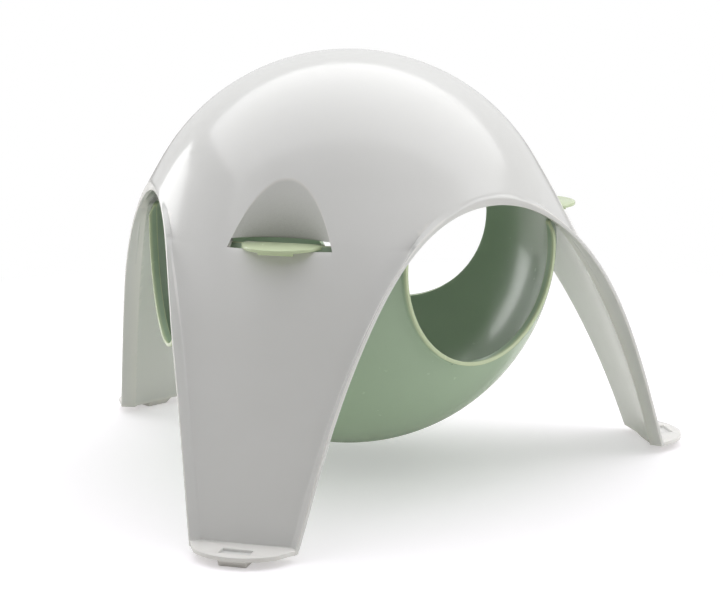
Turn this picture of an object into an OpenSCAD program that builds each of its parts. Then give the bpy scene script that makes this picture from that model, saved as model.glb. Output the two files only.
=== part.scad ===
// Small animal hideout: a glossy three-legged dome with a round bowl hung in it on three tongues.
// Heights in the Customizer sections are taken from the top face of the foot plates.
// The origin lies on the dome's vertical axis, on the surface that the foot pads stand on.
// One leg points along -Y, and the three entrances lie between the legs.

/* [Dome] */
// Radius of the legs' outer face at the top of the foot plates
foot_r = 180; // [170:1:200]
// Radius of the round crown
crown_r = 122.2; // [118:0.1:126]
// Height of the crown's centre
crown_h = 110.7; // [108:0.1:114]
// Angle above the horizontal at which the crown runs into the flared skirt
blend_angle = 31; // [29:0.5:33]
// Wall of the dome
wall = 2.5; // [2:0.1:3.5]

/* [Entrances] */
// Distance from the axis to the upright plane that an entrance's rim touches at its top
arch_x = 110.4; // [108:0.1:112]
// How far the rim's sides stand out from that plane
lip = 6; // [4:0.1:8]
// Thickness of the lip that ends in the rim
lip_t = 2.3; // [1.8:0.1:3]
// How far the rim's top lies below the point where that plane leaves the dome
lip_sink = 4.9; // [3:0.1:6]
// How much wider the rim is at each foot than that plane's cut through the dome
lip_flare = 2.6; // [1:0.1:4]
// Lean of the rim's sides at the feet, from the vertical
lip_lean = 27.6; // [25:0.5:30]

/* [Hoods and slots] */
// Height of the slot's lower edge
slot_h = 140.4; // [136:0.1:142]
// Height of the gap between the slot's lower edge and the hood
slot_gap = 4.5; // [4:0.1:6]
// How deep the hood is sunk into the leg at its lower edge
hood_depth = 11.4; // [8:0.1:13]
// Radius of the scooped hood, across the leg
hood_r = 50; // [44:0.5:54]
// Lean of the hood towards the dome's axis
hood_lean = 11; // [9:0.5:13]

/* [Feet] */
// Radius of the round front of a foot plate
plate_r = 32.5; // [30:0.5:36]
// How far a foot plate reaches out from the leg's face
plate_reach = 22.5; // [20:0.5:26]
// Thickness of a foot plate
plate_t = 2.5; // [2:0.1:3.5]
// Width of the pocket in a foot plate, along the leg's face
pocket_w = 16.5; // [12:0.5:18]
// Length of the pocket, outwards
pocket_l = 8; // [6:0.5:9]
// Depth of the pocket
pocket_depth = 1.8; // [1:0.1:2]
// Distance from the plate's front to the pocket
pocket_inset = 6; // [5:0.5:8]
// Width of a foot pad where it meets the plate
pad_w = 17; // [14:0.5:20]
// Height of a foot pad below the plate
pad_h = 4; // [3:0.5:6]
// Distance from the plate's front to the pad
pad_inset = 4.5; // [3:0.5:6]
// How much narrower the pad is at its foot, on each side
pad_draft = 1.1; // [0:0.1:2]

/* [Bowl] */
// Wall of the bowl
bowl_wall = 2.2; // [1.8:0.1:3]
// Height of the petals' top edge above the bowl's centre
petal_rise = 14.9; // [12:0.1:18]
// Outer radius of the round scoop that opens the bowl at each entrance
scoop_r = 58; // [52:0.5:60]
// Distance from an entrance's upright plane back to the rim of the scoop behind it
scoop_setback = 3.8; // [3:0.1:6]
// Thickness of the scoop's rim
rim_t = 2; // [1.6:0.1:2.6]

/* [Tongues] */
// Radius of a tongue's round end
tongue_r = 22; // [20:0.5:23]
// How far a tongue reaches out past the dome's face
tongue_reach = 11; // [9:0.5:13]
// How far a tongue's plate runs back from the petal's outer face
tongue_root = 7.3; // [5:0.1:9]
// Thickness of a tongue
tongue_t = 1.8; // [1.5:0.1:2.2]
// Width of the lug under a tongue
lug_w = 19.2; // [14:0.2:22]
// Thickness of the lug
lug_t = 1.8; // [1.4:0.1:2.4]
// How far the lug hangs below the slot's lower edge
lug_drop = 2.2; // [1.5:0.1:3]

/* [Fit] */
// Gap under a tongue where it lies on the slot's lower edge
seat_gap = 0.2; // [0.1:0.05:0.4]
// Gap left above a tongue when the bowl is lifted as far as it goes
top_gap = 0.3; // [0.2:0.05:0.5]
// Gap between the petals' top edge and the dome when the bowl is lifted
petal_gap = 0.8; // [0.6:0.1:1.4]
// Gap between the scoop's rim and the dome when the bowl is lifted
rim_gap = 1.5; // [1.2:0.1:2.5]
// Gap between a lug and the dome's face
lug_gap = 0.4; // [0.3:0.1:1]

/* [Hidden] */

// Facets of the round faces
round_fn = 180;
// Straight steps down the crown's arc and the skirt's, along half an entrance's outline, and up its bow
crown_steps = 16;
skirt_steps = 12;
arch_steps = 20;
bow_steps = 8;
// Legs, and the angle between them
legs = 3;
leg_step = 360 / legs;
// Overrun that makes every cut pass clean through
over = 5;

// The crown runs into the skirt at this point, as [radius, height]
blend_n = [cos(blend_angle), sin(blend_angle)];
blend_p = [0, crown_h] + crown_r * blend_n;
// The skirt is one long arc, tangent to the crown, that comes down to the feet
foot_v = [foot_r, 0] - blend_p;
skirt_r = -(foot_v * foot_v) / (2 * foot_v * blend_n);
skirt_c = blend_p - skirt_r * blend_n;

// Height of the plates' top face above the ground, and far reach of every cut
plate_top = pad_h + plate_t;
reach = foot_r + plate_reach + over;

// Outer radius of the dome at a height, or its inner radius with an inset
function bell_r(z, inset = 0) =
    z > blend_p.y
    ? sqrt(pow(crown_r - inset, 2) - pow(z - crown_h, 2))
    : skirt_c.x + sqrt(pow(skirt_r - inset, 2) - pow(z - skirt_c.y, 2));

// Height at which an entrance's upright plane leaves the dome
arch_top = arch_x < blend_p.x
    ? crown_h + sqrt(pow(crown_r, 2) - pow(arch_x, 2))
    : skirt_c.y + sqrt(pow(skirt_r, 2) - pow(arch_x - skirt_c.x, 2));

// One side of an entrance's outline is a curve drawn towards two handles, as [across, height]
rim_top = arch_top - lip_sink;
rim_fall = rim_top + plate_t;
rim_foot = sqrt(pow(bell_r(-plate_t), 2) - pow(arch_x, 2)) + lip_flare;
rim_top_share = 0.67;
rim_side_share = 0.18;
rim_curve = [
    [0, rim_top],
    [rim_top_share * rim_foot, rim_top],
    [rim_foot, -plate_t] + rim_side_share * rim_fall * [-tan(lip_lean), 1],
    [rim_foot, -plate_t]
];

// A point of that side, from the top (t = 0) to the foot (t = 1), moved into the opening by inset
function arch_point(t, inset) =
    let (u = 1 - t)
    let (p = rim_curve)
    let (run = u * u * (p[1] - p[0]) + 2 * u * t * (p[2] - p[1]) + t * t * (p[3] - p[2]))
    pow(u, 3) * p[0] + 3 * u * u * t * p[1] + 3 * u * t * t * p[2] + pow(t, 3) * p[3]
    + inset * [run.y, -run.x] / norm(run);

// Seen from the side, the rim stands upright and then bows back to the plane at arch_x
rim_x = arch_x + lip;
bow_share = 0.52;
bow_h = bow_share * rim_top;
bow_rise = rim_top - bow_h;
bow_r = (pow(bow_rise, 2) + pow(lip, 2)) / (2 * lip);

// Petals and tongues, measured from the slots that hold them
petal_top = slot_h + seat_gap + tongue_t;
lift = slot_gap - seat_gap - tongue_t - top_gap;
petal_r = bell_r(slot_h + slot_gap, wall) - petal_gap;
bowl_h = petal_top - petal_rise;
bowl_r = sqrt(pow(petal_r, 2) + pow(petal_rise, 2));
scoop_x = arch_x - scoop_setback;
tongue_tip = bell_r(slot_h) + tongue_reach;
lug_x = bell_r(slot_h - lug_drop) + lug_gap;

// Feet
plate_tip = foot_r + plate_reach;
pad_tip = plate_tip - pad_inset;
pad_root = bell_r(-plate_t, wall);

// Copies for the three legs or the three entrances, with +X turned outwards
module on_legs() {
    for (i = [0 : legs - 1])
        rotate([0, 0, i * leg_step - 90])
            children();
}

module on_entrances() {
    for (i = [0 : legs - 1])
        rotate([0, 0, (i + 0.5) * leg_step - 90])
            children();
}

// A flat outline, drawn across and up, carried outwards
module outwards(start, length) {
    translate([start, 0, 0])
        rotate([90, 0, 90])
            linear_extrude(length)
                children();
}

// Points along an arc, from angle a to angle b
function arc_points(centre, r, a, b, steps) =
    [for (i = [0 : steps])
        let (t = a + (b - a) * i / steps)
        centre + r * [cos(t), sin(t)]];

// Half section of the space inside the dome's outer face, moved inwards by inset
module bell_section(inset, low) {
    skirt_in = skirt_r - inset;
    foot_a = asin((low - skirt_c.y) / skirt_in);
    crown = arc_points([0, crown_h], crown_r - inset, 90, blend_angle, crown_steps);
    skirt = arc_points(skirt_c, skirt_in, blend_angle, foot_a, skirt_steps);
    polygon(concat(
        [[0, low], [0, crown_h + crown_r - inset]],
        [for (i = [1 : crown_steps]) crown[i]],
        [for (i = [1 : skirt_steps - 1]) skirt[i]],
        [[bell_r(low, inset), low]]
    ));
}

module bell_space(inset, low) {
    rotate_extrude($fn = round_fn)
        bell_section(inset, low);
}

// Outline of an entrance, from one foot over the top to the other
module arch_outline(inset, low) {
    side = [for (i = [0 : arch_steps]) arch_point(i / arch_steps, inset)];
    foot = side[arch_steps];
    polygon(concat(
        [[foot.x, low]],
        [for (i = [arch_steps : -1 : 0]) side[i]],
        [for (i = [1 : arch_steps]) [-side[i].x, side[i].y]],
        [[-foot.x, low]]
    ));
}

// What lies beyond an entrance's rim
module past_rim(low) {
    bow = arc_points([rim_x - bow_r, bow_h], bow_r, 0, asin(bow_rise / bow_r), bow_steps);
    translate([0, reach, 0])
        rotate([90, 0, 0])
            linear_extrude(2 * reach)
                polygon(concat(
                    [[rim_x, low]], bow,
                    [[arch_x, reach], [2 * reach, reach], [2 * reach, low]]
                ));
}

// The leaning round scoop that sinks a hood into a leg, or the swelling behind it
module hood_scoop(extra, low) {
    intersection() {
        translate([bell_r(slot_h + slot_gap) - hood_depth, 0, slot_h + slot_gap])
            rotate([0, -hood_lean, 0])
                translate([hood_r, 0, -hood_r])
                    cylinder(r = hood_r + extra, h = 3 * hood_r, $fn = round_fn);
        translate([0, -reach, low])
            cube([reach, 2 * reach, 2 * reach]);
    }
}

module foot_plate() {
    translate([plate_tip - plate_r, 0, -plate_t - over])
        cylinder(r = plate_r, h = plate_t + over, $fn = round_fn);
}

module foot_pocket() {
    translate([plate_tip - pocket_inset - pocket_l, -pocket_w / 2, -pocket_depth])
        cube([pocket_l, pocket_w, pocket_depth + over]);
}

// The pad that a foot stands on, drafted at its sides and cut away towards the dome's middle
module foot_pad() {
    half = pad_w / 2;
    intersection() {
        outwards(pad_root, pad_tip - pad_root)
            polygon([
                [-half, -plate_t], [-half + pad_draft, -plate_top],
                [half - pad_draft, -plate_top], [half, -plate_t]
            ]);
        translate([0, half, 0])
            rotate([90, 0, 0])
                linear_extrude(pad_w)
                    polygon([
                        [pad_root, -plate_t], [pad_root + pad_h, -plate_top],
                        [pad_tip, -plate_top], [pad_tip, -plate_t]
                    ]);
    }
}

module dome() {
    color("whitesmoke")
        translate([0, 0, plate_top]) {
            difference() {
                union() {
                    bell_space(0, -plate_t - over);
                    on_entrances()
                        outwards(arch_x / 2, arch_x / 2 + lip + over)
                            arch_outline(0, -plate_t - over);
                    on_legs()
                        foot_plate();
                }
                difference() {
                    bell_space(wall, -plate_t - 2 * over);
                    on_legs()
                        hood_scoop(wall, slot_h + slot_gap);
                    on_entrances()
                        outwards(arch_x - wall, reach)
                            arch_outline(0, -plate_t - 3 * over);
                }
                on_entrances() {
                    outwards(0, reach)
                        arch_outline(lip_t, -plate_t - 2 * over);
                    past_rim(-plate_t - 2 * over);
                }
                on_legs() {
                    hood_scoop(0, slot_h);
                    foot_pocket();
                }
                translate([-reach, -reach, -plate_t - reach])
                    cube([2 * reach, 2 * reach, reach]);
            }
            on_legs()
                foot_pad();
        }
}

// A cone that keeps the scoops' rims clear of the dome, also with the bowl lifted
module rim_room() {
    low = bowl_h - scoop_r - over;
    translate([0, 0, low])
        cylinder(
            r1 = bell_r(low + lift, wall + rim_gap), r2 = bell_r(petal_top + lift, wall + rim_gap),
            h = petal_top - low, $fn = round_fn
        );
}

// A tongue: a half-round plate through the slot, with a lug that hooks over the slot's edge
module tongue() {
    root = petal_r - tongue_root;
    translate([0, 0, slot_h + seat_gap])
        intersection() {
            translate([tongue_tip - tongue_r, 0, 0])
                cylinder(r = tongue_r, h = tongue_t, $fn = round_fn);
            translate([root, -tongue_r, 0])
                cube([2 * tongue_r, 2 * tongue_r, tongue_t]);
        }
    translate([lug_x, -lug_w / 2, slot_h - lug_drop])
        cube([lug_t, lug_w, lug_drop + seat_gap + tongue_t / 2]);
}

module bowl() {
    color("darkseagreen")
        translate([0, 0, plate_top]) {
            difference() {
                intersection() {
                    union() {
                        translate([0, 0, bowl_h])
                            sphere(r = bowl_r, $fn = round_fn);
                        intersection() {
                            on_entrances()
                                translate([scoop_x / 2, 0, bowl_h])
                                    rotate([0, 90, 0])
                                        cylinder(r = scoop_r, h = scoop_x / 2, $fn = round_fn);
                            rim_room();
                        }
                    }
                    translate([-reach, -reach, petal_top - 2 * reach])
                        cube(2 * reach);
                }
                translate([0, 0, bowl_h])
                    sphere(r = bowl_r - bowl_wall, $fn = round_fn);
                on_entrances()
                    translate([0, 0, bowl_h])
                        rotate([0, 90, 0])
                            cylinder(r = scoop_r - rim_t, h = reach, $fn = round_fn);
            }
            on_legs()
                tongue();
        }
}

dome();
bowl();
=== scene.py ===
"""Small animal hideout: a glossy white dome on three legs, with a sage-green bowl hung in it.

Lengths are in metres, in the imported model's frame: +Z up the dome's axis, the floor at zero, one
leg along -Y. Heights in the dataclasses are taken from the top face of the foot plates, as in the
part's source.
"""

import logging
import math
from collections.abc import Callable, Iterator
from contextlib import contextmanager
from dataclasses import dataclass, field
from enum import Enum

import bpy
import bmesh
from mathutils import Matrix, Vector


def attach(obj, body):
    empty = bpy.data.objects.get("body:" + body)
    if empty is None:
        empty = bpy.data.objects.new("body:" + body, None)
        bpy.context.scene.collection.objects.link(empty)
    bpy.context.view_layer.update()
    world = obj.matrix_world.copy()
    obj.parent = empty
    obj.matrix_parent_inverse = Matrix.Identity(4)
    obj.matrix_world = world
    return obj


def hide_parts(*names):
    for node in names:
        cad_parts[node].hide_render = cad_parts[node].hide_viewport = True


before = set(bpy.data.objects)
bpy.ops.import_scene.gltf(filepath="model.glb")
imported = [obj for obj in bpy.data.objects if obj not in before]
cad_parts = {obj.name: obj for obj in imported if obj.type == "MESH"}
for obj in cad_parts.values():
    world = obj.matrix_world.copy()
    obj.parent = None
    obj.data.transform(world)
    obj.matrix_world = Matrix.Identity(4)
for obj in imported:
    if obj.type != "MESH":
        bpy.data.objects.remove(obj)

LOG = logging.getLogger("hideout")
MM = 0.001
LEGS = 3
LEG_STEP = math.tau / LEGS
PLATE_TOP = 6.5 * MM
HIGHLIGHT_CORNER = "corner"
SLIVER = 0.15 * MM * MM
NEAR_CUT = 0.45 * MM
SAME = 1e-6
HALVINGS = 40
SHARP = math.radians(50)


class Face(Enum):
    """Which way a sub-assembly's own +X axis is turned outwards."""

    LEG = -math.pi / 2
    ENTRANCE = -math.pi / 2 + LEG_STEP / 2


def entrances() -> list[float]:
    """The angles that the three entrances face."""
    return [Face.ENTRANCE.value + i * LEG_STEP for i in range(LEGS)]


def turned(vector: Vector, angle: float) -> Vector:
    """Turn a vector about the dome's axis.

    Args:
        vector: the vector to turn.
        angle: the angle in radians, counter-clockwise from above.

    Returns:
        The turned vector.
    """
    return Matrix.Rotation(angle, 3, "Z") @ vector


def rest_selection() -> None:
    """Leave edit mode and deselect every object."""
    if bpy.context.object is not None and bpy.context.object.mode != "OBJECT":
        bpy.ops.object.mode_set(mode="OBJECT")
    bpy.ops.object.select_all(action="DESELECT")


def pick(piece: bpy.types.Object) -> None:
    """Make one object the only selected one, and the active one."""
    rest_selection()
    piece.select_set(True)
    bpy.context.view_layer.objects.active = piece


def put_down(piece: bpy.types.Object) -> None:
    """Put an object's place, turn and scale into its mesh."""
    pick(piece)
    bpy.ops.object.transform_apply(location=True, rotation=True, scale=True)


def added(operator: Callable, **values: object) -> bpy.types.Object:
    """Add a primitive, with its place and scale put into its mesh."""
    rest_selection()
    operator(**values)
    piece = bpy.context.object
    put_down(piece)
    return piece


def joined(pieces: list[bpy.types.Object], name: str) -> bpy.types.Object:
    """Join several meshes into the first one.

    Args:
        pieces: the meshes to join.
        name: the name of the result.

    Returns:
        The joined object.
    """
    rest_selection()
    for piece in pieces:
        piece.select_set(True)
    bpy.context.view_layer.objects.active = pieces[0]
    bpy.ops.object.join()
    pieces[0].name = pieces[0].data.name = name
    return pieces[0]


def round_copies(piece: bpy.types.Object) -> list[bpy.types.Object]:
    """Copy a finished piece to the other two legs, each copy with its own mesh.

    Args:
        piece: the piece made for the first leg.

    Returns:
        The piece and its two copies.
    """
    pieces = [piece]
    for leg in range(1, LEGS):
        pick(piece)
        bpy.ops.object.duplicate(linked=False)
        copy = bpy.context.object
        copy.data.transform(Matrix.Rotation(leg * LEG_STEP, 4, "Z"))
        pieces.append(copy)
    return pieces


def add_modifier(piece: bpy.types.Object, kind: str, **values: object) -> None:
    """Add a modifier with the given values, and apply it.

    Args:
        piece: the object that gets the modifier.
        kind: the modifier's type.
        values: its settings.
    """
    pick(piece)
    modifier = piece.modifiers.new(kind.title(), kind)
    for key, value in values.items():
        setattr(modifier, key, value)
    bpy.ops.object.modifier_apply(modifier=modifier.name)


@contextmanager
def editing(piece: bpy.types.Object, everything: bool = False) -> Iterator[None]:
    """Edit one mesh, and go back to object mode.

    Args:
        piece: the object that holds the mesh.
        everything: whether all of the mesh is selected first.
    """
    pick(piece)
    bpy.ops.object.mode_set(mode="EDIT")
    if everything:
        bpy.ops.mesh.select_all(action="SELECT")
    yield
    bpy.ops.object.mode_set(mode="OBJECT")


@contextmanager
def remeshing(piece: bpy.types.Object) -> Iterator[bmesh.types.BMesh]:
    """Open a piece's mesh for single changes, and write it back.

    Args:
        piece: the object that holds the mesh.

    Yields:
        The open mesh.
    """
    mesh = bmesh.new()
    mesh.from_mesh(piece.data)
    yield mesh
    mesh.to_mesh(piece.data)
    mesh.free()


def bisect(piece: bpy.types.Object, point: Vector, normal: Vector, fill: bool = False) -> None:
    """Cut a mesh by a plane and drop what lies on the side that the normal points to.

    Args:
        piece: the mesh to cut.
        point: a point of the plane.
        normal: the plane's normal.
        fill: whether the cut is closed with a face.
    """
    with editing(piece, everything=True):
        bpy.ops.mesh.bisect(plane_co=point, plane_no=normal, use_fill=fill, clear_outer=True,
                            threshold=1e-7)


def weld(piece: bpy.types.Object, distance: float) -> None:
    """Merge the vertices of a mesh that lie closer together than a distance."""
    with editing(piece, everything=True):
        bpy.ops.mesh.remove_doubles(threshold=distance)


def bevel_chosen(piece: bpy.types.Object, width: float) -> None:
    """Round the edges of a mesh that are selected, by a width."""
    with editing(piece):
        bpy.ops.mesh.bevel(offset=width, segments=3, affect="EDGES", clamp_overlap=True)


def smooth(piece: bpy.types.Object, angle: float = 40.0) -> None:
    """Shade a mesh smoothly, and keep its edges sharper than an angle in degrees."""
    pick(piece)
    bpy.ops.object.shade_smooth_by_angle(angle=math.radians(angle))


def thicken(piece: bpy.types.Object, wall: float) -> None:
    """Give a sheet a wall on its inner side."""
    add_modifier(piece, "SOLIDIFY", thickness=wall, offset=-1.0, use_even_offset=True,
                 use_quality_normals=True)


def round_sharp(piece: bpy.types.Object, width: float, angle: float = SHARP) -> None:
    """Round the edges of a piece that are sharper than an angle, by a width."""
    add_modifier(piece, "BEVEL", width=width, segments=2, limit_method="ANGLE", angle_limit=angle)


def mark_highlight_corners(piece: bpy.types.Object, least: float = 14.0) -> None:
    """Mark the vertices on a piece's rounded outer corners, where a painted highlight makes its
    material paler.

    Args:
        piece: the piece.
        least: the smallest turn between two faces, in degrees, that counts as a corner.
    """
    with remeshing(piece) as mesh:
        layer = mesh.verts.layers.float.new(HIGHLIGHT_CORNER)
        for edge in mesh.edges:
            faces = edge.link_faces
            if len(faces) != 2 or min(face.calc_area() for face in faces) < SLIVER:
                continue
            if edge.calc_face_angle_signed(0.0) > math.radians(least):
                for vert in edge.verts:
                    vert[layer] = 1.0


def dress(piece: bpy.types.Object, finish: bpy.types.Material) -> None:
    """Smooth a finished piece, mark its corners for their painted highlight and give it its
    material.
    """
    smooth(piece)
    mark_highlight_corners(piece)
    piece.data.materials.clear()
    piece.data.materials.append(finish)


def spread(start: float, end: float, step: float) -> list[float]:
    """Evenly spaced values from start up to, but not including, end.

    Args:
        start: the first value.
        end: the value that the next stretch starts from.
        step: the largest step.

    Returns:
        The values.
    """
    count = max(1, math.ceil(abs(end - start) / step))
    return [start + (end - start) * i / count for i in range(count)]


def last_true(low: float, high: float, test: Callable[[float], bool]) -> float:
    """The value up to which a test holds, found by halving.

    Args:
        low: a value at which it holds.
        high: a value at which it doesn't.
        test: the test.

    Returns:
        The value.
    """
    for _ in range(HALVINGS):
        middle = (low + high) / 2
        if test(middle):
            low = middle
        else:
            high = middle
    return low


@dataclass(frozen=True)
class Bell:
    """The dome's outer surface of revolution: a round crown that runs into a flared skirt."""

    foot_r: float = 180 * MM
    crown_r: float = 122.2 * MM
    crown_h: float = 110.7 * MM
    blend: float = math.radians(31)

    @property
    def join(self) -> Vector:
        """The point where the crown runs into the skirt, as radius and height."""
        return Vector((self.crown_r * math.cos(self.blend),
                       self.crown_h + self.crown_r * math.sin(self.blend)))

    @property
    def skirt_r(self) -> float:
        """Radius of the skirt's long arc, tangent to the crown and down to the feet."""
        fall = Vector((self.foot_r, 0)) - self.join
        normal = Vector((math.cos(self.blend), math.sin(self.blend)))
        return -fall.dot(fall) / (2 * fall.dot(normal))

    @property
    def skirt_c(self) -> Vector:
        """Centre of the skirt's arc, as radius and height."""
        return self.join - self.skirt_r * Vector((math.cos(self.blend), math.sin(self.blend)))

    def radius(self, z: float) -> float:
        """Outer radius at a height."""
        if z > self.join.y:
            return math.sqrt(max(0.0, self.crown_r**2 - (z - self.crown_h) ** 2))
        return self.skirt_c.x + math.sqrt(self.skirt_r**2 - (z - self.skirt_c.y) ** 2)

    def normal(self, z: float) -> Vector:
        """Outward normal at a height, as its radial and upward parts."""
        centre = Vector((0, self.crown_h)) if z > self.join.y else self.skirt_c
        return (Vector((self.radius(z), z)) - centre).normalized()

    def height_at(self, radius: float) -> float:
        """Height of the skirt where its radius has the given value."""
        return self.skirt_c.y + math.sqrt(self.skirt_r**2 - (radius - self.skirt_c.x) ** 2)


@dataclass(frozen=True)
class Rim:
    """The edge that an entrance's lip ends in, by its distance out, its place across and height."""

    bell: Bell = field(default_factory=Bell)
    arch_x: float = 110.4 * MM
    lip: float = 6 * MM
    sink: float = 4.9 * MM
    flare: float = 2.6 * MM
    lean: float = math.radians(27.6)
    top_share: float = 0.67
    side_share: float = 0.18
    bow_share: float = 0.52
    foot: float = -2.5 * MM

    @property
    def top(self) -> float:
        """Height of the rim's top."""
        return self.bell.height_at(self.arch_x) - self.sink

    def handles(self) -> list[Vector]:
        """The four handles of the curve down one side, as across and height."""
        half = math.sqrt(self.bell.radius(self.foot) ** 2 - self.arch_x**2) + self.flare
        rise = self.side_share * (self.top - self.foot)
        return [Vector((0, self.top)),
                Vector((self.top_share * half, self.top)),
                Vector((half - rise * math.tan(self.lean), self.foot + rise)),
                Vector((half, self.foot))]

    def out(self, z: float) -> float:
        """Distance out at a height: upright below, and bowed back to the plane at arch_x above."""
        bow = self.bow_share * self.top
        radius = ((self.top - bow) ** 2 + self.lip**2) / (2 * self.lip)
        return self.arch_x + self.lip - radius + math.sqrt(radius**2 - max(0.0, z - bow) ** 2)

    def at(self, t: float) -> tuple[Vector, Vector]:
        """A point of the rim and the direction into the opening there.

        Args:
            t: where on the curve down one side, from 0 at the top to 1 at the foot.

        Returns:
            The point and the direction, both as across and height.
        """
        a, b, c, d = self.handles()
        u = 1 - t
        run = (u * u * (b - a) + 2 * u * t * (c - b) + t * t * (d - c)).normalized()
        return u**3 * a + 3 * u * u * t * b + 3 * u * t * t * c + t**3 * d, Vector((run.y, -run.x))

    def nearest(self, place: Vector) -> float:
        """Where on the curve the point nearest to a place, given as across and height, lies."""
        if place.y < self.foot + SAME:
            return 1.0
        low, high = 0.0, 1.0
        for _ in range(HALVINGS):
            third = (high - low) / 3
            if (self.at(low + third)[0] - place).length < (self.at(high - third)[0] - place).length:
                high -= third
            else:
                low += third
        return (low + high) / 2


@dataclass(frozen=True)
class Lip:
    """The section of an entrance's lip: its rounds, and the stretches of the rim where forms fade.

    A stretch is given by the places on the rim, 0 at the top and 1 at the foot, between which a
    form fades away.
    """

    end_t: float = 2.5 * MM
    bead_out: float = 1.4 * MM
    bead_in: float = 1.8 * MM
    bead_stretch: tuple[float, float] = (0.0, 0.24)
    bead_power: float = 1.5
    root_in: float = 2.2 * MM
    crown_stretch: tuple[float, float] = (0.16, 0.26)
    back_stretch: tuple[float, float] = (0.26, 0.42)
    lead_r: float = 1.2 * MM
    corner_r: float = 1.3 * MM
    edge_r: float = 0.8 * MM
    back_r: float = 0.45 * MM


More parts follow.
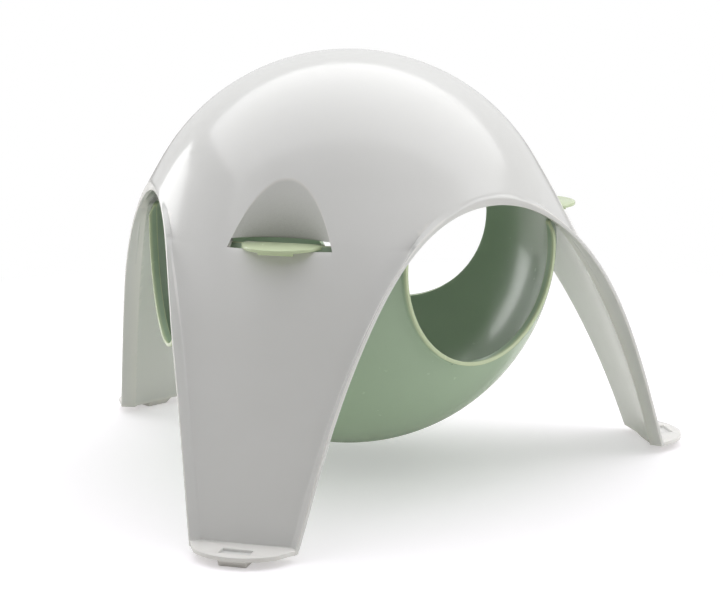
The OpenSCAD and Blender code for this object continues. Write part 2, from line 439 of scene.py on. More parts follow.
@dataclass
class Dome:
    """The white moulding: crown, legs, entrance lips, hoods, slots, foot plates and pads."""

    bell: Bell = field(default_factory=Bell)
    rim: Rim = field(default_factory=Rim)
    lip: Lip = field(default_factory=Lip)
    wall: float = 2.4 * MM
    crease: float = 1.3 * MM
    slot_h: float = 140.4 * MM
    slot_gap: float = 4.5 * MM
    hood_depth: float = 11.4 * MM
    hood_r: float = 50 * MM
    hood_lean: float = math.radians(11)
    hood_round: float = 0.8 * MM
    hood_top: float = 182 * MM
    hood_span: float = math.radians(25)
    hood_rows: int = 20
    row_step: float = 3.0 * MM
    bell_rows: int = 18
    bell_crowding: float = 1.15
    bell_top: float = 196 * MM
    crown_end: float = math.radians(88.9)
    crown_step: float = math.radians(1.7)
    column_steps: tuple[float, float, float] = (0.62, 0.42, 1.45)
    plate_r: float = 32.5 * MM
    plate_tip: float = 202.5 * MM
    plate_t: float = 2.5 * MM
    plate_back: float = 178.6 * MM
    plate_side: float = 142.2 * MM
    plate_out: float = 116.2 * MM
    plate_round: float = 0.45 * MM
    pocket: tuple[float, float, float] = (8 * MM, 16.5 * MM, 1.8 * MM)
    pocket_out: float = 192.5 * MM
    pad_out: tuple[float, float] = (182.4 * MM, 198 * MM)
    pad_w: float = 17 * MM
    pad_draft: float = 1.1 * MM
    pad_h: float = 4 * MM
    pad_sink: float = 0.5 * MM
    round_r: float = 0.5 * MM

    def hood_radius(self, angle: float, z: float) -> float:
        """Radius at which a hood's leaning round scoop lies, seen from the dome's axis.

        Args:
            angle: the angle from the leg's middle.
            z: the height.

        Returns:
            The radius, or a large value where the scoop isn't met.
        """
        top = self.slot_h + self.slot_gap
        inner = self.bell.radius(top) - self.hood_depth - (z - top) * math.tan(self.hood_lean)
        reach = self.hood_r / math.cos(self.hood_lean)
        centre = inner + reach
        across = centre * math.sin(angle)
        if abs(across) >= self.hood_r:
            return 1.0
        return centre * math.cos(angle) - reach * math.sqrt(1 - (across / self.hood_r) ** 2)

    def sunk(self, angle: float, z: float) -> bool:
        """Whether the hood lies inside the bell at an angle and a height."""
        return self.hood_radius(angle, z) < self.bell.radius(z)

    def hood_edge(self, angle: float) -> float:
        """Height at which the hood runs out into the bell, or the slot's lower edge beside it."""
        if not self.sunk(angle, self.slot_h):
            return self.slot_h
        return last_true(self.slot_h, self.hood_top, lambda z: self.sunk(angle, z))

    def hood_half(self, z: float) -> float:
        """Half the angle that the hood spans at a height."""
        return last_true(0.0, self.hood_span, lambda angle: self.sunk(angle, z))

    def columns(self) -> list[float]:
        """Angles of the sheet's columns from the leg's middle, close together over the hood."""
        inner, outer = self.hood_half(self.slot_h + self.slot_gap), self.hood_half(self.slot_h)
        wide, close, open_wall = (math.radians(step) for step in self.column_steps)
        edge, flank = LEG_STEP / 2, inner * 0.6
        half = spread(0, flank, wide) + spread(flank, inner, close)
        half += spread(inner, outer, close) + spread(outer, edge, open_wall) + [edge]
        return [-a for a in reversed(half[1:])] + half

    def rows_below(self) -> list[float]:
        """Heights of the sheet's rows below the slot's lower edge."""
        return spread(-self.plate_t, self.slot_h, self.row_step)

    def column(self, angle: float) -> list[tuple[float, float]]:
        """The points of one column of the sheet, from the foot to the crown's top.

        Args:
            angle: the column's angle from the leg's middle.

        Returns:
            Radius and height of each point. The slot lies between the last of the rows below it
            and the next row.
        """
        bell, top, cap = self.bell, self.slot_h + self.slot_gap, self.bell_top
        edge = self.hood_edge(angle)
        points = [(bell.radius(z), z) for z in self.rows_below() + [self.slot_h]]
        for i in range(self.hood_rows):
            z = top + (edge - top) * i / self.hood_rows
            sunk = (self.hood_radius(angle, z), z)
            points.append(sunk if edge > top else (bell.radius(edge), edge))
        for i in range(self.bell_rows):
            z = edge + (cap - edge) * (i / self.bell_rows) ** self.bell_crowding
            points.append((bell.radius(z), z))
        start = math.asin((cap - bell.crown_h) / bell.crown_r)
        for lift in spread(start, self.crown_end, self.crown_step):
            radius, rise = bell.crown_r * math.cos(lift), bell.crown_r * math.sin(lift)
            points.append((radius, bell.crown_h + rise))
        return points

    def sheet(self) -> bpy.types.Object:
        """One leg's third of the outer face: a grid wrapped round the bell and sunk at the hood.

        Returns:
            The sheet, open at the slot.
        """
        columns = self.columns()
        points = [self.column(angle) for angle in columns]
        rows = len(points[0])
        spans, slack = (len(columns) - 1, rows - 1), 1e-5
        rest_selection()
        bpy.ops.mesh.primitive_grid_add(x_subdivisions=spans[0], y_subdivisions=spans[1], size=2)
        piece = bpy.context.object
        step_x, step_y = 2 / spans[0], 2 / spans[1]
        slot_row = len(self.rows_below())
        half = self.hood_half(self.slot_h) + slack
        crease = slot_row + 1 + self.hood_rows
        inner = self.hood_half(self.slot_h + self.slot_gap) + slack
        with remeshing(piece) as mesh:
            place = {v: (round((v.co.x + 1) / step_x), round((v.co.y + 1) / step_y))
                     for v in mesh.verts}
            gone = []
            for face in mesh.faces:
                at = [place[v] for v in face.verts]
                if {row for _, row in at} == {slot_row, slot_row + 1}:
                    if max(abs(columns[column]) for column, _ in at) < half:
                        gone.append(face)
            for vert, (column, row) in place.items():
                radius, z = points[column][row]
                spot = Vector((radius, 0, z + PLATE_TOP))
                vert.co = turned(spot, columns[column] + Face.LEG.value)
            bmesh.ops.delete(mesh, geom=gone, context="FACES")
            for edge in mesh.edges:
                ends = [place[v] for v in edge.verts]
                edge.select_set(all(row == crease and abs(columns[column]) < inner
                                    for column, row in ends))
        bevel_chosen(piece, self.hood_round)
        return piece

    def lipped(self, piece: bpy.types.Object) -> None:
        """Cut the entrances out of the whole sheet, thicken it, and draw a lip round each of them.

        Args:
            piece: the closed-up sheet of the whole dome.
        """
        cut = self.rim.arch_x - self.crease
        outwards = [turned(Vector((1, 0, 0)), turn) for turn in entrances()]
        for outward in outwards:
            bisect(piece, outward * cut, outward)
        weld(piece, 0.35 * MM)
        count = len(piece.data.vertices)
        thicken(piece, self.wall)
        foot, brow = PLATE_TOP - self.plate_t, PLATE_TOP + self.slot_h + self.slot_gap
        with remeshing(piece) as mesh:
            mesh.verts.ensure_lookup_table()
            for i in range(count):
                vert, inner = mesh.verts[i], mesh.verts[i + count]
                at_edge = any(edge.other_vert(vert) == inner for edge in vert.link_edges)
                if vert.co.z < foot + SAME:
                    vert.co.z = inner.co.z = foot
                elif abs(vert.co.z - brow) < SAME and at_edge:
                    inner.co.z = brow
            for outward in outwards:
                self.draw_lip(mesh, outward, cut, count)

    def lip_rows(self, start: Vector, inner: Vector, outward: Vector,
                 across: Vector) -> list[Vector]:
        """The lip's section at one place, from the outer face round the rim and back inside.

        Args:
            start: the edge of the outer face there, on the cut.
            inner: the edge of the inner face behind it.
            outward: the entrance's direction.
            across: the direction across the entrance.

        Returns:
            The section's points between the two edges.
        """
        bell, rim, lip, foot = self.bell, self.rim, self.lip, -self.plate_t
        z, lat = start.z - PLATE_TOP, start.dot(across)
        side, cut = math.copysign(1.0, lat), start.dot(outward)
        t = rim.nearest(Vector((abs(lat), z)))
        spot, into = rim.at(t)

        def at(out: float, place: Vector) -> Vector:
            """A point of the entrance's own frame, kept above the plate's underside."""
            height = max(place.y, foot) + PLATE_TOP
            return outward * out + across * side * place.x + Vector((0, 0, height))

        def eased(stretch: tuple[float, float]) -> float:
            """One above a stretch of the rim, zero below it, and even between."""
            return min(max((stretch[1] - t) / (stretch[1] - stretch[0]), 0.0), 1.0)

        def bend(a: Vector, b: Vector, c: Vector, steps: int) -> list[Vector]:
            """Points round a corner b, from after a up to c."""
            shares = [i / steps for i in range(1, steps + 1)]
            return [a * (1 - f) ** 2 + b * 2 * f * (1 - f) + c * f * f for f in shares]

        slope = bell.normal(z)
        normal = (outward * cut + across * lat).normalized() * slope.x + Vector((0, 0, slope.y))
        climb = outward - normal * outward.dot(normal)
        fall = (start + climb * (self.crease / climb.length_squared)).z - PLATE_TOP
        height = bell.height_at(rim.arch_x)
        height = foot if z < foot + SAME else min(max(fall, foot), height)
        half = math.sqrt(max(0.0, bell.radius(height) ** 2 - rim.arch_x**2))
        corner = at(rim.arch_x, Vector((half, height)))

        bead = eased(lip.bead_stretch) ** lip.bead_power
        brow = spot - into * bead * lip.bead_in
        edge = at(rim.out(spot.y) + bead * lip.bead_out, brow)
        lower = at(rim.out(spot.y), spot + into * lip.end_t)
        root = brow - into * lip.root_in
        crown = at(math.sqrt(bell.radius(root.y) ** 2 - root.x**2), root)
        corner = corner.lerp(crown, eased(lip.crown_stretch))

        down, flange, lead = (lower - edge).normalized(), edge - corner, start - corner
        most = 0.4 * flange.length
        near, far = min(lip.corner_r, most), min(lip.edge_r, most)
        weight = eased(lip.back_stretch)
        back = ((inner - lower).normalized() * (1 - weight) - outward * weight).normalized()
        if t > 0.999:
            back.z = 0
        line = flange.normalized()
        first = corner + lead * min(0.5, lip.lead_r / lead.length)
        turn, end = edge - line * far, lower - down * lip.back_r
        rows = [first] + bend(first, corner, corner + line * near, 4)
        rows += [(corner + edge) / 2, turn] + bend(turn, edge, edge + down * lip.edge_r, 4)
        rows += [end] + bend(end, lower, lower + back * lip.back_r, 3)
        return rows + [lower + back * self.wall]

    def draw_lip(self, mesh: bmesh.types.BMesh, outward: Vector, cut: float, count: int) -> None:
        """Put a lip in the place of the flat wall round one entrance's cut.

        Args:
            mesh: the thickened sheet, whose inner vertices follow its outer ones in the same order.
            outward: the entrance's direction.
            cut: how far out the sheet was cut.
            count: the number of outer vertices.
        """
        across = Vector((-outward.y, outward.x, 0))
        mesh.verts.ensure_lookup_table()

        def outer(vert: bmesh.types.BMVert) -> bool:
            """Whether a vertex lies on this cut's outer edge."""
            return 0 <= vert.index < count and abs(vert.co.dot(outward) - cut) < NEAR_CUT

        walls, pairs = [], []
        for face in mesh.faces:
            ring = list(face.verts)
            if len(ring) != 4 or sum(outer(v) for v in ring) != 2:
                continue
            for a, b, c, d in (ring[i:] + ring[:i] for i in range(4)):
                behind = c.index == b.index + count and d.index == a.index + count
                if outer(a) and outer(b) and behind:
                    walls.append(face)
                    pairs.append((a, b))
        rows = {}
        inners = {v: mesh.verts[v.index + count] for pair in pairs for v in pair}
        for vert, inner in inners.items():
            z = vert.co.z - PLATE_TOP
            lat = math.sqrt(max(0.0, self.bell.radius(z) ** 2 - cut**2))
            lat = math.copysign(lat, vert.co.dot(across))
            vert.co = outward * cut + across * lat + Vector((0, 0, vert.co.z))
            points = self.lip_rows(vert.co, inner.co, outward, across)
            rows[vert] = [vert] + [mesh.verts.new(co) for co in points] + [inner]
        bmesh.ops.delete(mesh, geom=walls, context="FACES")
        for a, b in pairs:
            for i in range(len(rows[a]) - 1):
                mesh.faces.new((rows[a][i], rows[b][i], rows[b][i + 1], rows[a][i + 1]))
        for vert, section in rows.items():
            if vert.co.z < PLATE_TOP - self.plate_t + SAME:
                end = mesh.faces.new(section)
                end.normal_update()
                if end.normal.z > 0:
                    end.normal_flip()

    def shell(self) -> bpy.types.Object:
        """The whole thin wall: three sheets made one, with entrances, lips and rounded slots.

        Returns:
            The closed shell.
        """
        piece = joined(round_copies(self.sheet()), "dome_shell")
        weld(piece, 0.02 * MM)
        with editing(piece):
            bpy.ops.mesh.select_all(action="DESELECT")
        top = max(v.co.z for v in piece.data.vertices)
        for edge in piece.data.edges:
            ends = [piece.data.vertices[i].co.z for i in edge.vertices]
            edge.select = min(ends) > top - 0.01 * MM
        with editing(piece):
            bpy.ops.mesh.select_mode(type="EDGE")
            bpy.ops.mesh.edge_face_add()
            bpy.ops.mesh.poke()
        self.lipped(piece)
        low, high = self.slot_h - 1 * MM, self.slot_h + self.slot_gap + 1.5 * MM
        with remeshing(piece) as mesh:
            for part in (*mesh.verts, *mesh.edges, *mesh.faces):
                part.select = False
            for edge in mesh.edges:
                ends = [v.co.z - PLATE_TOP for v in edge.verts]
                inside = low < min(ends) and max(ends) < high and len(edge.link_faces) == 2
                if inside and edge.calc_face_angle(0.0) > SHARP:
                    edge.select_set(True)
        bevel_chosen(piece, self.round_r)
        return piece

    def foot(self) -> bpy.types.Object:
        """The front leg's plate with its pocket, and the pad under it.

        Returns:
            The foot as one object.
        """
        outward = turned(Vector((1, 0, 0)), Face.LEG.value)
        centre = outward * (self.plate_tip - self.plate_r)
        plate = added(bpy.ops.mesh.primitive_cylinder_add, vertices=160, radius=self.plate_r,
                      depth=self.plate_t,
                      location=centre + Vector((0, 0, PLATE_TOP - self.plate_t / 2)))
        bisect(plate, outward * self.plate_back, -outward, fill=True)
        for side in (1, -1):
            turn = Face.LEG.value - side * LEG_STEP / 2
            across = turned(Vector((0, side, 0)), turn)
            bisect(plate, across * self.plate_side, -across, fill=True)
            away = turned(Vector((1, 0, 0)), turn)
            bisect(plate, away * self.plate_out, away, fill=True)
        length, width, depth = self.pocket
        tool_h = 10 * MM
        tool = added(
            bpy.ops.mesh.primitive_cube_add, size=1, scale=(width, length, tool_h),
            location=outward * self.pocket_out + Vector((0, 0, PLATE_TOP - depth + tool_h / 2)))
        add_modifier(plate, "BOOLEAN", object=tool, operation="DIFFERENCE", solver="EXACT")
        bpy.data.objects.remove(tool)
        round_sharp(plate, self.plate_round)
        return joined([plate, self.pad(outward)], "dome_foot")

    def pad(self, outward: Vector) -> bpy.types.Object:
        """The tapered block that the foot stands on.

        Args:
            outward: the leg's direction.

        Returns:
            The pad.
        """
        low, high = self.pad_out
        root = low - self.pad_h
        tall = self.pad_h + self.pad_sink
        piece = added(bpy.ops.mesh.primitive_cube_add, size=1,
                      scale=(self.pad_w, high - root, tall),
                      location=outward * (root + high) / 2 + Vector((0, 0, tall / 2)))
        for vert in piece.data.vertices:
            if vert.co.z < 1 * MM:
                vert.co.z = 0
                vert.co.x -= math.copysign(self.pad_draft, vert.co.x)
                if vert.co.dot(outward) < (root + high) / 2:
                    vert.co += outward * self.pad_h
        round_sharp(piece, self.round_r, math.radians(30))
        return piece

    def build(self, finish: bpy.types.Material) -> bpy.types.Object:
        """Make the whole moulding and dress it.

        Args:
            finish: its material.

        Returns:
            The finished piece.
        """
        piece = joined([self.shell()] + round_copies(self.foot()), "dome_moulding")
        dress(piece, finish)
        return piece


@dataclass
class Bowl:
    """The green moulding: a round bowl with three scoops, petals, tongues and lugs."""

    bell: Bell = field(default_factory=Bell)
    ball_r: float = 118.42 * MM
    ball_h: float = 127.5 * MM
    wall: float = 2.2 * MM
    petal_top: float = 142.4 * MM
    scoop_r: float = 58 * MM
    rim_x: float = 106.6 * MM
    rim_room: float = 4.0 * MM
    rim_least: float = 0.3 * MM
    rim_step: float = 1.3 * MM
    rim_shares: tuple[float, float] = (0.35, 1.0)
    lift: float = 2.2 * MM
    tongue_r: float = 22 * MM
    tongue_tip: float = 134.53 * MM
    tongue_root: float = 110.3 * MM
    tongue_t: float = 1.8 * MM
    tongue_z: float = 140.6 * MM
    lug_w: float = 19.2 * MM
    lug_x: float = 125.1 * MM
    lug_t: float = 1.8 * MM
    lug_low: float = 138.2 * MM
    tongue_round: float = 0.4 * MM
    round_r: float = 0.5 * MM

    def sheet(self) -> bpy.types.Object:
        """The bowl's outer face, a ball cut level at the petals and open at the scoops.

        Returns:
            The sheet, with the scoops' rims drawn out of it.
        """
        piece = added(bpy.ops.mesh.primitive_uv_sphere_add, segments=240, ring_count=130,
                      radius=self.ball_r, location=(0, 0, self.ball_h + PLATE_TOP))
        bisect(piece, Vector((0, 0, self.petal_top + PLATE_TOP)), Vector((0, 0, 1)))
        cut = math.sqrt(self.ball_r**2 - self.scoop_r**2)
        for turn in entrances():
            outward = turned(Vector((1, 0, 0)), turn)
            bisect(piece, outward * cut, outward)
        weld(piece, 0.3 * MM)
        for turn in entrances():
            self.draw_rim(piece, turn, cut)
        return piece

    def draw_rim(self, piece: bpy.types.Object, turn: float, cut: float) -> None:
        """Extrude one scoop's edge outwards, and keep its ends clear of the dome.

        Args:
            piece: the sheet.
            turn: the entrance's direction.
            cut: how far out the ball was cut.
        """
        outward, across = turned(Vector((1, 0, 0)), turn), turned(Vector((0, 1, 0)), turn)
        centre = Vector((0, 0, self.ball_h + PLATE_TOP))

        def at_cut(vert: bmesh.types.BMVert) -> bool:
            """Whether a vertex lies in the cut's plane."""
            return abs(vert.co.dot(outward) - cut) < NEAR_CUT

        with remeshing(piece) as mesh:
            ring = [v for v in mesh.verts if v.is_boundary and at_cut(v)]
            bmesh.ops.remove_doubles(mesh, verts=ring, dist=self.rim_step)
            edges = [e for e in mesh.edges if e.is_boundary and all(map(at_cut, e.verts))]
            ends = {}
            for vert in dict.fromkeys(v for e in edges for v in e.verts):
                spoke = vert.co - outward * cut - centre
                vert.co = outward * cut + centre + spoke.normalized() * self.scoop_r
                z = vert.co.z - PLATE_TOP
                room = self.bell.radius(z + self.lift) - self.rim_room
                lat = vert.co.dot(across)
                out = min(self.rim_x, math.sqrt(max(0.0, room**2 - lat**2)))
                ends[vert] = max(out, cut + self.rim_least)
            chain = {v: v for v in ends}
            for share in self.rim_shares:
                fresh = {v: mesh.verts.new(v.co + outward * (out - cut) * share)
                         for v, out in ends.items()}
                for edge in edges:
                    a, b = edge.verts
                    face = mesh.faces.new((chain[a], chain[b], fresh[b], fresh[a]))
                    middle = face.calc_center_median()
                    face.normal_update()
                    away = middle - outward * middle.dot(outward) - centre
                    if face.normal.dot(away) < 0:
                        face.normal_flip()
                chain = fresh

    def tongue(self) -> bpy.types.Object:
        """The front leg's tongue and the lug under it."""
        outward = turned(Vector((1, 0, 0)), Face.LEG.value)
        plate = added(
            bpy.ops.mesh.primitive_cylinder_add, vertices=160, radius=self.tongue_r,
            depth=self.tongue_t, location=outward * (self.tongue_tip - self.tongue_r)
            + Vector((0, 0, self.tongue_z + self.tongue_t / 2 + PLATE_TOP)))
        bisect(plate, outward * self.tongue_root, -outward, fill=True)
        round_sharp(plate, self.tongue_round)
        high = self.tongue_z + self.tongue_t / 2
        lug = added(
            bpy.ops.mesh.primitive_cube_add, size=1,
            scale=(self.lug_w, self.lug_t, high - self.lug_low),
            location=outward * (self.lug_x + self.lug_t / 2)
            + Vector((0, 0, (self.lug_low + high) / 2 + PLATE_TOP)))
        round_sharp(lug, self.tongue_round)
        return joined([plate, lug], "bowl_tongue")

    def build(self, finish: bpy.types.Material) -> bpy.types.Object:
        """Make the whole moulding and dress it.

        Args:
            finish: its material.

        Returns:
            The finished piece.
        """
        shell = self.sheet()
        thicken(shell, self.wall)
        add_modifier(shell, "BEVEL", width=self.round_r, segments=3, limit_method="ANGLE",
                     angle_limit=math.radians(55), use_clamp_overlap=False,
                     miter_outer="MITER_SHARP")
        piece = joined([shell] + round_copies(self.tongue()), "bowl_moulding")
        dress(piece, finish)
        return piece


def moulded_gloss() -> bpy.types.ShaderNodeTree:
    """The look of a moulded face: flow clouds, painted shade in the hollows over the slots, painted
    highlight on the corners, marks and waviness.

    Returns:
        The node group, with the colour, roughness and normal as outputs.
    """
    group = bpy.data.node_groups.new("moulded_gloss", "ShaderNodeTree")
    face, nodes, links = group.interface, group.nodes, group.links
    for name, kind, value in (
        ("Colour", "Color", (0.8, 0.8, 0.8, 1)),
        ("Shade", "Color", (0.7, 0.7, 0.7, 1)),
        ("Roughness", "Float", 0.2),
        ("Waviness", "Float", 0.1),
        ("Hollow shade", "Float", 0.0),
        ("Edges", "Float", 0.7),
        ("Edge highlight", "Color", (0.9, 0.9, 0.9, 1)),
    ):
        socket = face.new_socket(name, in_out="INPUT", socket_type=f"NodeSocket{kind}")
        socket.default_value = value
    for name, kind in (("Colour", "Color"), ("Roughness", "Float"), ("Normal", "Vector")):
        face.new_socket(name, in_out="OUTPUT", socket_type=f"NodeSocket{kind}")
    source, sink = nodes.new("NodeGroupInput"), nodes.new("NodeGroupOutput")
    given = source.outputs
    place = nodes.new("ShaderNodeTexCoord").outputs["Object"]

    def noise(scale: float, detail: float, distortion: float = 0.0) -> bpy.types.NodeSocket:
        """A noise pattern's value at a scale."""
        node = nodes.new("ShaderNodeTexNoise")
        node.inputs["Scale"].default_value = scale
        node.inputs["Detail"].default_value = detail
        node.inputs["Distortion"].default_value = distortion
        links.new(place, node.inputs["Vector"])
        return node.outputs["Fac"]

    def mapped(value: bpy.types.NodeSocket, low: float, high: float, to_low: float = 0.0,
               to_high: float = 1.0) -> bpy.types.NodeSocket:
        """A value carried from one range to another."""
        node = nodes.new("ShaderNodeMapRange")
        limits = {"From Min": low, "From Max": high, "To Min": to_low, "To Max": to_high}
        for key, number in limits.items():
            node.inputs[key].default_value = number
        links.new(value, node.inputs["Value"])
        return node.outputs["Result"]

    def sum_of(a: bpy.types.NodeSocket, b: bpy.types.NodeSocket,
               operation: str = "ADD") -> bpy.types.NodeSocket:
        """Two values added, or combined in another way."""
        node = nodes.new("ShaderNodeMath")
        node.operation = operation
        links.new(a, node.inputs[0])
        links.new(b, node.inputs[1])
        return node.outputs[0]

    def blend(share: bpy.types.NodeSocket, a: bpy.types.NodeSocket,
              b: bpy.types.NodeSocket | tuple, kind: str = "MIX") -> bpy.types.NodeSocket:
        """Two colours blended by a share; the second may be a plain one."""
        node = nodes.new("ShaderNodeMix")
        node.data_type, node.blend_type = "RGBA", kind
        links.new(share, node.inputs["Factor"])
        links.new(a, node.inputs["A"])
        if isinstance(b, tuple):
            node.inputs["B"].default_value = b
        else:
            links.new(b, node.inputs["B"])
        return node.outputs["Result"]

    clouds = mapped(noise(14, 3, 0.6), 0.35, 0.7)
    colour = blend(clouds, given["Colour"], given["Shade"])

    # Painted shade: where ambient occlusion finds a face shut in, above the slots, its colour is
    # darkened towards a dark grey, standing in for the shade in the hoods.
    hollow_occlusion, height = nodes.new("ShaderNodeAmbientOcclusion"), nodes.new("ShaderNodeSeparateXYZ")
    hollow_occlusion.samples = 8
    hollow_occlusion.inputs["Distance"].default_value = 28 * MM
    links.new(place, height.inputs[0])
    over_slots = mapped(height.outputs["Z"], 146 * MM, 148 * MM)
    shade_mask = sum_of(over_slots, given["Hollow shade"], "MULTIPLY")
    depth = sum_of(mapped(hollow_occlusion.outputs["AO"], 0.95, 0.5), shade_mask, "MULTIPLY")
    colour = blend(depth, colour, (0.13, 0.13, 0.115, 1), "MULTIPLY")

    # Painted highlight: the marked corners are blended towards a pale edge colour.
    corner = nodes.new("ShaderNodeAttribute")
    corner.attribute_name = HIGHLIGHT_CORNER
    thin = sum_of(corner.outputs["Fac"], given["Edges"], "MULTIPLY")
    links.new(blend(thin, colour, given["Edge highlight"]), sink.inputs["Colour"])

    marks = mapped(noise(260, 2), 0.45, 0.75, 0, 0.03)
    smears = mapped(noise(45, 4, 1.5), 0.4, 0.75, -0.02, 0.05)
    links.new(sum_of(given["Roughness"], sum_of(marks, smears)), sink.inputs["Roughness"])

    bump = nodes.new("ShaderNodeBump")
    bump.inputs["Distance"].default_value = 0.6 * MM
    links.new(given["Waviness"], bump.inputs["Strength"])
    links.new(noise(70, 2), bump.inputs["Height"])
    links.new(bump.outputs["Normal"], sink.inputs["Normal"])
    return group


@dataclass(frozen=True)
class GlossPlastic:
    """A glossy moulded plastic."""

    name: str
    colour: tuple[float, float, float]
    shade: tuple[float, float, float]
    roughness: float
    waviness: float = 0.1
    coat: float = 0.15
    # Strength of the painted shade in the hollows over the slots.
    hollow_shade: float = 0.0
    # Colour of the painted highlight on the rounded corners.
    edge: tuple[float, float, float] = (0.92, 0.9, 0.87)

    def material(self, group: bpy.types.ShaderNodeTree) -> bpy.types.Material:
        """Build the material.

        Args:
            group: the shared look of a moulded face.

        Returns:
            The material.
        """
        material = bpy.data.materials.new(self.name)
        material.use_nodes = True
        nodes, links = material.node_tree.nodes, material.node_tree.links
        shader = nodes["Principled BSDF"]
        look = nodes.new("ShaderNodeGroup")
        look.node_tree = group
        for name, value in (
            ("Colour", (*self.colour, 1)),
            ("Shade", (*self.shade, 1)),
            ("Roughness", self.roughness),
            ("Waviness", self.waviness),
            ("Hollow shade", self.hollow_shade),
            ("Edge highlight", (*self.edge, 1)),
        ):
            look.inputs[name].default_value = value
        for name, target in (("Colour", "Base Color"), ("Roughness", "Roughness"),
                             ("Normal", "Normal")):
            links.new(look.outputs[name], shader.inputs[target])
        shader.inputs["IOR"].default_value = 1.5
        shader.inputs["Coat Weight"].default_value = self.coat
        shader.inputs["Coat Roughness"].default_value = 0.08
        return material


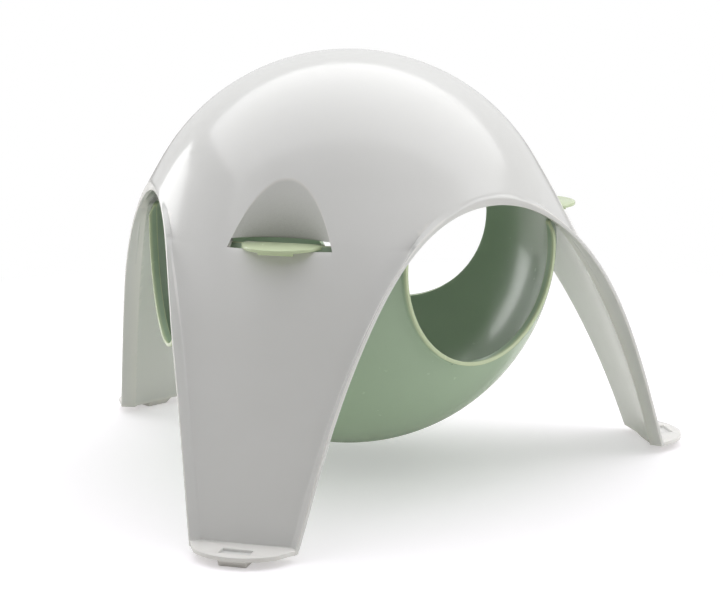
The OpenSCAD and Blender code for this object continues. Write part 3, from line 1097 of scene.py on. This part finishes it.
@dataclass(frozen=True)
class Studio:
    """Camera, lamps, floor and background.

    The lamps stand by the camera's side: +X to its right, +Y away from it.
    """

    distance: float = 1.2189
    height: float = 0.3514
    side: float = math.radians(17.38)
    yaw: float = math.radians(0.34)
    pitch: float = math.radians(12.05)
    roll: float = math.radians(0.36)
    focal_px: float = 2168.9
    width_px: float = 723.0
    sensor: float = 36.0
    aim_h: float = 0.12
    air: float = 0.07
    mirrored: float = 0.75
    floor_size: float = 16.0
    floor_glow: float = 0.34
    floor_bounce: float = 0.06
    fade: tuple[float, float] = (0.33, 0.62)

    def camera(self) -> None:
        """Put the camera where the photograph was taken from."""
        data = bpy.data.cameras.new("photo_camera")
        data.sensor_fit, data.sensor_width = "HORIZONTAL", self.sensor
        data.lens = self.focal_px * self.sensor / self.width_px
        data.clip_start, data.clip_end = 0.05, 20
        camera = bpy.data.objects.new("photo_camera", data)
        bpy.context.scene.collection.objects.link(camera)
        camera.matrix_world = (
            Matrix.Rotation(self.side, 4, "Z")
            @ Matrix.Translation((0, -self.distance, self.height))
            @ Matrix.Rotation(-self.yaw, 4, "Z")
            @ Matrix.Rotation(math.pi / 2 - self.pitch, 4, "X")
            @ Matrix.Rotation(-self.roll, 4, "Z"))
        bpy.context.scene.camera = camera

    def lamp(self, name: str, place: Vector, size: tuple[float, float], power: float,
             level: bool = False) -> None:
        """Add a soft box that points at the middle of the object, or straight down.

        Args:
            name: its name.
            place: where it stands.
            size: its width and height.
            power: its power in watts.
            level: whether it hangs level and points straight down.
        """
        data = bpy.data.lights.new(name, "AREA")
        data.shape, data.energy = "RECTANGLE", power
        data.size, data.size_y = size
        lamp = bpy.data.objects.new(name, data)
        bpy.context.scene.collection.objects.link(lamp)
        lamp.location = place
        aim = (place - Vector((0, 0, self.aim_h))).to_track_quat("Z", "Y").to_euler()
        lamp.rotation_euler = (0, 0, self.side) if level else aim

    def lights(self) -> None:
        """Hang a wide soft ceiling over and behind the object, and set a box on each side."""
        turn = Matrix.Rotation(self.side, 3, "Z")
        for name, place, size, radiance in (
            ("ceiling_box", (0.45, 0.62, 1.45), (4.2, 1.95), 1.68),
            ("ceiling_front", (0.3, -0.85, 1.45), (4.2, 1.0), 0.8),
            ("left_box", (-1.75, 0.95, 0.5), (1.3, 0.9), 3.2),
            ("right_box", (2.2, 0.0, 0.5), (1.2, 0.9), 2.9),
        ):
            power = radiance * math.pi * size[0] * size[1]
            level = name.startswith("ceiling")
            self.lamp(name, turn @ Vector(place), size, power, level)

    def world(self) -> None:
        """Light the scene plainly, with a white background for the camera."""
        world = bpy.data.worlds.new("studio_air")
        bpy.context.scene.world = world
        world.use_nodes = True
        nodes, links = world.node_tree.nodes, world.node_tree.links
        nodes.clear()
        path, out = nodes.new("ShaderNodeLightPath"), nodes.new("ShaderNodeOutputWorld")
        air, white = nodes.new("ShaderNodeBackground"), nodes.new("ShaderNodeBackground")
        air.inputs["Color"].default_value = (1, 1, 1, 1)
        air.inputs["Strength"].default_value = self.air
        white.inputs["Color"].default_value = (1, 1, 1, 1)
        white.inputs["Strength"].default_value = 1.0
        mirrored, seen = nodes.new("ShaderNodeMath"), nodes.new("ShaderNodeMath")
        mirrored.operation, seen.operation = "MULTIPLY", "MAXIMUM"
        mirrored.inputs[1].default_value = self.mirrored
        links.new(path.outputs["Is Glossy Ray"], mirrored.inputs[0])
        links.new(path.outputs["Is Camera Ray"], seen.inputs[0])
        links.new(mirrored.outputs[0], seen.inputs[1])
        mix = nodes.new("ShaderNodeMixShader")
        links.new(seen.outputs[0], mix.inputs[0])
        links.new(air.outputs[0], mix.inputs[1])
        links.new(white.outputs[0], mix.inputs[2])
        links.new(mix.outputs[0], out.inputs["Surface"])

    def floor(self) -> None:
        """Lay a pale floor that shows white where no shadow falls."""
        rest_selection()
        bpy.ops.mesh.primitive_plane_add(size=self.floor_size, location=(0, 0, 0))
        floor = bpy.context.object
        floor.name = "studio_floor"
        material = bpy.data.materials.new("studio_floor")
        material.use_nodes = True
        nodes, links = material.node_tree.nodes, material.node_tree.links
        nodes.clear()
        out, path = nodes.new("ShaderNodeOutputMaterial"), nodes.new("ShaderNodeLightPath")
        lit, seen = nodes.new("ShaderNodeBsdfDiffuse"), nodes.new("ShaderNodeBsdfDiffuse")
        glow, white = nodes.new("ShaderNodeEmission"), nodes.new("ShaderNodeEmission")
        lit.inputs["Color"].default_value = (0.86, 0.85, 0.83, 1)
        seen.inputs["Color"].default_value = (0.85, 0.82, 0.86, 1)
        glow.inputs["Strength"].default_value = self.floor_glow
        bounce, carried = nodes.new("ShaderNodeEmission"), nodes.new("ShaderNodeAddShader")
        bounce.inputs["Color"].default_value = (1, 0.96, 0.91, 1)
        bounce.inputs["Strength"].default_value = self.floor_bounce
        links.new(lit.outputs[0], carried.inputs[0])
        links.new(bounce.outputs[0], carried.inputs[1])
        near = nodes.new("ShaderNodeAddShader")
        links.new(seen.outputs[0], near.inputs[0])
        links.new(glow.outputs[0], near.inputs[1])
        white.inputs["Strength"].default_value = 1.0
        place, length = nodes.new("ShaderNodeTexCoord"), nodes.new("ShaderNodeVectorMath")
        length.operation = "LENGTH"
        links.new(place.outputs["Object"], length.inputs[0])
        fade = nodes.new("ShaderNodeMapRange")
        fade.inputs["From Min"].default_value = self.fade[0]
        fade.inputs["From Max"].default_value = self.fade[1]
        links.new(length.outputs["Value"], fade.inputs["Value"])
        shown, both = nodes.new("ShaderNodeMixShader"), nodes.new("ShaderNodeMixShader")
        links.new(fade.outputs["Result"], shown.inputs[0])
        links.new(near.outputs[0], shown.inputs[1])
        links.new(white.outputs[0], shown.inputs[2])
        links.new(path.outputs["Is Camera Ray"], both.inputs[0])
        links.new(carried.outputs[0], both.inputs[1])
        links.new(shown.outputs[0], both.inputs[2])
        links.new(both.outputs[0], out.inputs["Surface"])
        floor.data.materials.append(material)

    def build(self) -> None:
        """Set the whole studio up."""
        bpy.context.scene.view_settings.view_transform = "Standard"
        self.camera()
        self.lights()
        self.world()
        self.floor()


def main() -> None:
    """Build the studio and the two mouldings."""
    logging.basicConfig(level=logging.INFO, format="%(name)s: %(message)s")
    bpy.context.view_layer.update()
    Studio().build()
    group = moulded_gloss()
    # The white finish has painted shade in its hollows over the slots.
    white = GlossPlastic("dome_white", (0.80, 0.80, 0.79), (0.78, 0.78, 0.765),
                         roughness=0.16, hollow_shade=0.9)
    # The edge colour, given here and by default for the white, is a painted highlight on the
    # rounded corners.
    green = GlossPlastic("bowl_green", (0.44, 0.58, 0.415), (0.42, 0.56, 0.395),
                         roughness=0.22, edge=(0.72, 0.8, 0.5))
    for piece, body, slot in (
        (Dome().build(white.material(group)), "dome", "dome_white"),
        (Bowl().build(green.material(group)), "bowl", "bowl_green"),
    ):
        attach(piece, body)
        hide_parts(body)
        LOG.info("%s: %d faces", piece.name, len(piece.data.polygons))


if __name__ == "__main__":
    main()
